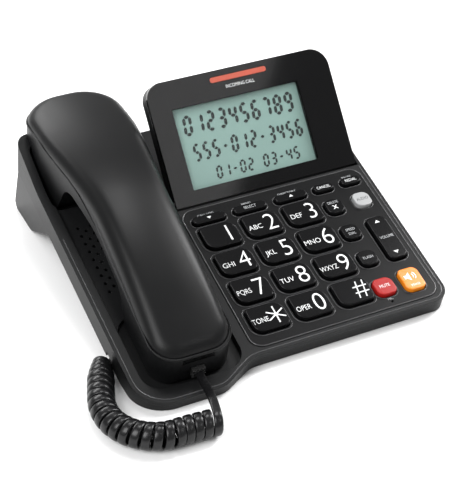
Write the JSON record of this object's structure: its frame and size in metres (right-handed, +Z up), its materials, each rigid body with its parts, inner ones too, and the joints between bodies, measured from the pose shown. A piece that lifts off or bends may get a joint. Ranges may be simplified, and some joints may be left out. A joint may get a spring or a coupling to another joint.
{
  "type": "corded desk telephone",
  "caption": "Corded desk telephone with big keys, a tilting caller display, a speakerphone and a handset on a coiled cord.",
  "frame": {"origin": "on the table under the middle of the telephone, handset cord left out", "axes": "+X to the user's right, +Y away from the user, +Z up"},
  "size_m": [0.2226, 0.2534, 0.0987],
  "materials": {
    "housing_black": "satin moulded black",
    "stand_black": "satin moulded black",
    "panel_black": "gloss overlay",
    "membrane_grey": "matt silicone",
    "board_green": "solder mask",
    "speaker_metal": "plated",
    "jack_black": "moulded",
    "switch_black": "moulded",
    "door_black": "satin moulded black",
    "cell_wrap": "plain wrapped cell",
    "contact_metal": "plated spring contact",
    "foot_rubber": "matt",
    "screw_steel": "zinc plated",
    "pin_steel": "ground",
    "bezel_black": "piano gloss",
    "rear_black": "satin",
    "window_clear": "clear acrylic",
    "lcd_grey": "teal grey reflective screen",
    "light_red": "translucent",
    "key_black": "gloss with printed legends",
    "key_white": "translucent white",
    "key_red": "translucent red",
    "key_orange": "translucent orange",
    "handset_black": "semi gloss moulded",
    "handset_inner": "satin",
    "receiver_black": "moulded capsule",
    "cord_black": "semi gloss PVC",
    "plug_clear": "clear moulded plug"
  },
  "bodies": {
    "housing": {"base_lower_shell": "housing_black", "base_upper_shell": "housing_black", "keypad_faceplate": "panel_black", "keypad_membrane": "membrane_grey", "main_board": "board_green", "base_speaker": "speaker_metal", "base_microphone": "receiver_black", "line_jack": "jack_black", "handset_cord_jack": "jack_black", "hook_switch": "switch_black", "battery_door": "door_black", "batteries": "cell_wrap", "battery_contacts": "contact_metal", "desk_stand": "stand_black", "rubber_feet": "foot_rubber", "base_screws": "screw_steel", "hinge_pins": "pin_steel", "cord_coil": "cord_black", "cord_tail": "cord_black", "base_plug": "plug_clear"},
    "display": {"display_front_bezel": "bezel_black", "display_rear_shell": "rear_black", "display_window": "window_clear", "lcd_module": "lcd_grey", "display_board": "board_green", "call_light_lens": "light_red", "display_screws": "screw_steel"},
    "handset": {"handset_back_shell": "handset_black", "handset_front_shell": "handset_inner", "handset_receiver": "receiver_black", "handset_microphone": "receiver_black", "handset_jack": "jack_black", "handset_screws": "screw_steel", "handset_plug": "plug_clear", "cord_lead": "cord_black"},
    "hook": {"hook_plunger": "switch_black"},
    "key_1": {"key_1": "key_black"},
    "key_2": {"key_2": "key_black"},
    "key_3": {"key_3": "key_black"},
    "key_4": {"key_4": "key_black"},
    "key_5": {"key_5": "key_black"},
    "key_6": {"key_6": "key_black"},
    "key_7": {"key_7": "key_black"},
    "key_8": {"key_8": "key_black"},
    "key_9": {"key_9": "key_black"},
    "key_star": {"key_star": "key_black"},
    "key_0": {"key_0": "key_black"},
    "key_pound": {"key_pound": "key_black"},
    "call_log_key": {"call_log_key": "key_black"},
    "menu_key": {"menu_key": "key_black"},
    "directory_key": {"directory_key": "key_black"},
    "cancel_key": {"cancel_key": "key_black"},
    "redial_key": {"redial_key": "key_black"},
    "audio_key": {"audio_key": "key_white"},
    "delete_key": {"delete_key": "key_black"},
    "speed_dial_key": {"speed_dial_key": "key_black"},
    "flash_key": {"flash_key": "key_black"},
    "mute_key": {"mute_key": "key_red"},
    "speaker_key": {"speaker_key": "key_orange"},
    "volume_rocker": {"volume_rocker": "key_black"}
  },
  "joints": [
    {"name": "display_tilt", "type": "hinge", "parent": "housing", "child": "display", "pos_m": [0.0351, 0.01551, 0.03871], "axis": [1, 0, 0], "range_deg": [-30, 12]},
    {"name": "handset_lift", "type": "slide", "parent": "housing", "child": "handset", "axis": [0, -0.2605, 0.9655], "range_m": [0, 0.06]},
    {"name": "hook_travel", "type": "slide", "parent": "housing", "child": "hook", "axis": [0, -0.2605, 0.9655], "range_m": [0, 0.004]},
    {"name": "key_1_press", "type": "slide", "parent": "housing", "child": "key_1", "axis": [0, 0.2605, -0.9655], "range_m": [0, 0.0015], "stiffness_N_per_m": 300},
    {"name": "key_2_press", "type": "slide", "parent": "housing", "child": "key_2", "axis": [0, 0.2605, -0.9655], "range_m": [0, 0.0015], "stiffness_N_per_m": 300},
    {"name": "key_3_press", "type": "slide", "parent": "housing", "child": "key_3", "axis": [0, 0.2605, -0.9655], "range_m": [0, 0.0015], "stiffness_N_per_m": 300},
    {"name": "key_4_press", "type": "slide", "parent": "housing", "child": "key_4", "axis": [0, 0.2605, -0.9655], "range_m": [0, 0.0015], "stiffness_N_per_m": 300},
    {"name": "key_5_press", "type": "slide", "parent": "housing", "child": "key_5", "axis": [0, 0.2605, -0.9655], "range_m": [0, 0.0015], "stiffness_N_per_m": 300},
    {"name": "key_6_press", "type": "slide", "parent": "housing", "child": "key_6", "axis": [0, 0.2605, -0.9655], "range_m": [0, 0.0015], "stiffness_N_per_m": 300},
    {"name": "key_7_press", "type": "slide", "parent": "housing", "child": "key_7", "axis": [0, 0.2605, -0.9655], "range_m": [0, 0.0015], "stiffness_N_per_m": 300},
    {"name": "key_8_press", "type": "slide", "parent": "housing", "child": "key_8", "axis": [0, 0.2605, -0.9655], "range_m": [0, 0.0015], "stiffness_N_per_m": 300},
    {"name": "key_9_press", "type": "slide", "parent": "housing", "child": "key_9", "axis": [0, 0.2605, -0.9655], "range_m": [0, 0.0015], "stiffness_N_per_m": 300},
    {"name": "key_star_press", "type": "slide", "parent": "housing", "child": "key_star", "axis": [0, 0.2605, -0.9655], "range_m": [0, 0.0015], "stiffness_N_per_m": 300},
    {"name": "key_0_press", "type": "slide", "parent": "housing", "child": "key_0", "axis": [0, 0.2605, -0.9655], "range_m": [0, 0.0015], "stiffness_N_per_m": 300},
    {"name": "key_pound_press", "type": "slide", "parent": "housing", "child": "key_pound", "axis": [0, 0.2605, -0.9655], "range_m": [0, 0.0015], "stiffness_N_per_m": 300},
    {"name": "call_log_key_press", "type": "slide", "parent": "housing", "child": "call_log_key", "axis": [0, 0.2605, -0.9655], "range_m": [0, 0.0015], "stiffness_N_per_m": 300},
    {"name": "menu_key_press", "type": "slide", "parent": "housing", "child": "menu_key", "axis": [0, 0.2605, -0.9655], "range_m": [0, 0.0015], "stiffness_N_per_m": 300},
    {"name": "directory_key_press", "type": "slide", "parent": "housing", "child": "directory_key", "axis": [0, 0.2605, -0.9655], "range_m": [0, 0.0015], "stiffness_N_per_m": 300},
    {"name": "cancel_key_press", "type": "slide", "parent": "housing", "child": "cancel_key", "axis": [0, 0.2605, -0.9655], "range_m": [0, 0.0015], "stiffness_N_per_m": 300},
    {"name": "redial_key_press", "type": "slide", "parent": "housing", "child": "redial_key", "axis": [0, 0.2605, -0.9655], "range_m": [0, 0.0015], "stiffness_N_per_m": 300},
    {"name": "audio_key_press", "type": "slide", "parent": "housing", "child": "audio_key", "axis": [0, 0.2605, -0.9655], "range_m": [0, 0.0015], "stiffness_N_per_m": 300},
    {"name": "delete_key_press", "type": "slide", "parent": "housing", "child": "delete_key", "axis": [0, 0.2605, -0.9655], "range_m": [0, 0.0015], "stiffness_N_per_m": 300},
    {"name": "speed_dial_key_press", "type": "slide", "parent": "housing", "child": "speed_dial_key", "axis": [0, 0.2605, -0.9655], "range_m": [0, 0.0015], "stiffness_N_per_m": 300},
    {"name": "flash_key_press", "type": "slide", "parent": "housing", "child": "flash_key", "axis": [0, 0.2605, -0.9655], "range_m": [0, 0.0015], "stiffness_N_per_m": 300},
    {"name": "mute_key_press", "type": "slide", "parent": "housing", "child": "mute_key", "axis": [0, 0.2605, -0.9655], "range_m": [0, 0.0015], "stiffness_N_per_m": 300},
    {"name": "speaker_key_press", "type": "slide", "parent": "housing", "child": "speaker_key", "axis": [0, 0.2605, -0.9655], "range_m": [0, 0.0015], "stiffness_N_per_m": 300},
    {"name": "volume_rock", "type": "hinge", "parent": "housing", "child": "volume_rocker", "pos_m": [0.0827, -0.04926, 0.02082], "axis": [1, 0, 0], "range_deg": [-3.5, 3.5], "stiffness_Nm_per_rad": 0.3}
  ],
  "couplings": [
    {"joint": "hook_travel", "follows": "handset_lift", "ratio": 0.066667}
  ]
}
